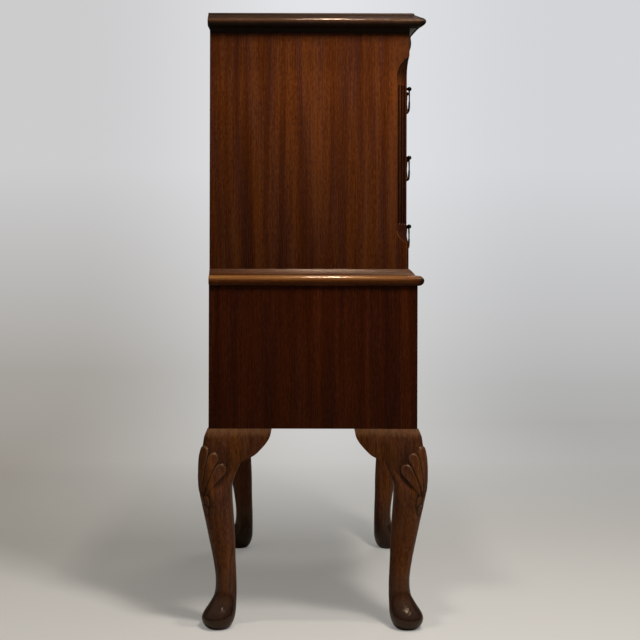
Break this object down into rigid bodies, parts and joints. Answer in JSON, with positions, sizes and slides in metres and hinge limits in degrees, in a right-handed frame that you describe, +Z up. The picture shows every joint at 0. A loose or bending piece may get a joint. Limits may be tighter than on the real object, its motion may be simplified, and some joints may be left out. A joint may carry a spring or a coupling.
{
  "type": "serpentine chest of drawers on cabriole legs",
  "caption": "Tall serpentine-front chest of drawers in two stages, with canted fluted corners, waist moulding and swan-neck handles, on shell-kneed cabriole legs with pad feet.",
  "frame": {"origin": "on the floor under the middle of the case", "axes": "+Z up, the drawer fronts face -Y, +X to the right when facing the fronts"},
  "size_m": [0.807, 0.51, 1.372],
  "materials": {
    "case_mahogany": "satin polished reddish-brown ribbon-stripe mahogany",
    "moulding_mahogany": "satin polished mahogany mouldings with rubbed edges",
    "leg_mahogany": "polished carved mahogany, glossier at the feet",
    "secondary_wood": "plain unpolished secondary wood",
    "brass": "dark patinated cast brass"
  },
  "bodies": {
    "case": {"top_board": "moulding_mahogany", "cove_front": "moulding_mahogany", "cove_left": "moulding_mahogany", "cove_right": "moulding_mahogany", "waist_front": "moulding_mahogany", "waist_left": "moulding_mahogany", "waist_right": "moulding_mahogany", "upper_side_left": "case_mahogany", "upper_side_right": "case_mahogany", "canted_post_left": "case_mahogany", "canted_post_right": "case_mahogany", "frieze_rail": "case_mahogany", "upper_rails": "case_mahogany", "upper_runners": "secondary_wood", "upper_back": "secondary_wood", "upper_bottom": "secondary_wood", "lower_side_left": "case_mahogany", "lower_side_right": "case_mahogany", "lower_posts": "case_mahogany", "lower_rails": "case_mahogany", "lower_runners": "secondary_wood", "lower_back": "secondary_wood", "lower_bottom": "secondary_wood", "lower_top": "secondary_wood", "leg_front_left": "leg_mahogany", "leg_front_right": "leg_mahogany", "leg_back_left": "leg_mahogany", "leg_back_right": "leg_mahogany", "knee_brackets": "leg_mahogany", "leg_dowels": "secondary_wood"},
    "drawer_1": {"drawer_1_front": "case_mahogany", "drawer_1_box": "secondary_wood", "drawer_1_bottom": "secondary_wood", "drawer_1_handle_posts": "brass"},
    "drawer_1_bail_left": {"drawer_1_bail_left": "brass"},
    "drawer_1_bail_right": {"drawer_1_bail_right": "brass"},
    "drawer_2": {"drawer_2_front": "case_mahogany", "drawer_2_box": "secondary_wood", "drawer_2_bottom": "secondary_wood", "drawer_2_handle_posts": "brass"},
    "drawer_2_bail_left": {"drawer_2_bail_left": "brass"},
    "drawer_2_bail_right": {"drawer_2_bail_right": "brass"},
    "drawer_3": {"drawer_3_front": "case_mahogany", "drawer_3_box": "secondary_wood", "drawer_3_bottom": "secondary_wood", "drawer_3_handle_posts": "brass"},
    "drawer_3_bail_left": {"drawer_3_bail_left": "brass"},
    "drawer_3_bail_right": {"drawer_3_bail_right": "brass"},
    "drawer_4": {"drawer_4_front": "case_mahogany", "drawer_4_box": "secondary_wood", "drawer_4_bottom": "secondary_wood", "drawer_4_handle_posts": "brass"},
    "drawer_4_bail_left": {"drawer_4_bail_left": "brass"},
    "drawer_4_bail_right": {"drawer_4_bail_right": "brass"},
    "drawer_5": {"drawer_5_front": "case_mahogany", "drawer_5_box": "secondary_wood", "drawer_5_bottom": "secondary_wood", "drawer_5_handle_posts": "brass"},
    "drawer_5_bail_left": {"drawer_5_bail_left": "brass"},
    "drawer_5_bail_right": {"drawer_5_bail_right": "brass"}
  },
  "joints": [
    {"name": "drawer_1_slide", "type": "slide", "parent": "case", "child": "drawer_1", "axis": [0, -1, 0], "range_m": [0, 0.3]},
    {"name": "drawer_1_bail_left_pivot", "type": "hinge", "parent": "drawer_1", "child": "drawer_1_bail_left", "pos_m": [-0.2052, -0.22242, 1.2185], "axis": [-1, 0, 0], "range_deg": [-10, 90]},
    {"name": "drawer_1_bail_right_pivot", "type": "hinge", "parent": "drawer_1", "child": "drawer_1_bail_right", "pos_m": [0.2052, -0.22242, 1.2185], "axis": [-1, 0, 0], "range_deg": [-10, 90]},
    {"name": "drawer_2_slide", "type": "slide", "parent": "case", "child": "drawer_2", "axis": [0, -1, 0], "range_m": [0, 0.3]},
    {"name": "drawer_2_bail_left_pivot", "type": "hinge", "parent": "drawer_2", "child": "drawer_2_bail_left", "pos_m": [-0.2052, -0.22242, 1.0585], "axis": [-1, 0, 0], "range_deg": [-10, 90]},
    {"name": "drawer_2_bail_right_pivot", "type": "hinge", "parent": "drawer_2", "child": "drawer_2_bail_right", "pos_m": [0.2052, -0.22242, 1.0585], "axis": [-1, 0, 0], "range_deg": [-10, 90]},
    {"name": "drawer_3_slide", "type": "slide", "parent": "case", "child": "drawer_3", "axis": [0, -1, 0], "range_m": [0, 0.3]},
    {"name": "drawer_3_bail_left_pivot", "type": "hinge", "parent": "drawer_3", "child": "drawer_3_bail_left", "pos_m": [-0.2052, -0.22242, 0.8985], "axis": [-1, 0, 0], "range_deg": [-10, 90]},
    {"name": "drawer_3_bail_right_pivot", "type": "hinge", "parent": "drawer_3", "child": "drawer_3_bail_right", "pos_m": [0.2052, -0.22242, 0.8985], "axis": [-1, 0, 0], "range_deg": [-10, 90]},
    {"name": "drawer_4_slide", "type": "slide", "parent": "case", "child": "drawer_4", "axis": [0, -1, 0], "range_m": [0, 0.3]},
    {"name": "drawer_4_bail_left_pivot", "type": "hinge", "parent": "drawer_4", "child": "drawer_4_bail_left", "pos_m": [-0.2052, -0.23743, 0.68512], "axis": [-1, 0, 0], "range_deg": [-10, 90]},
    {"name": "drawer_4_bail_right_pivot", "type": "hinge", "parent": "drawer_4", "child": "drawer_4_bail_right", "pos_m": [0.2052, -0.23743, 0.68512], "axis": [-1, 0, 0], "range_deg": [-10, 90]},
    {"name": "drawer_5_slide", "type": "slide", "parent": "case", "child": "drawer_5", "axis": [0, -1, 0], "range_m": [0, 0.3]},
    {"name": "drawer_5_bail_left_pivot", "type": "hinge", "parent": "drawer_5", "child": "drawer_5_bail_left", "pos_m": [-0.2052, -0.23743, 0.53038], "axis": [-1, 0, 0], "range_deg": [-10, 90]},
    {"name": "drawer_5_bail_right_pivot", "type": "hinge", "parent": "drawer_5", "child": "drawer_5_bail_right", "pos_m": [0.2052, -0.23743, 0.53038], "axis": [-1, 0, 0], "range_deg": [-10, 90]}
  ]
}
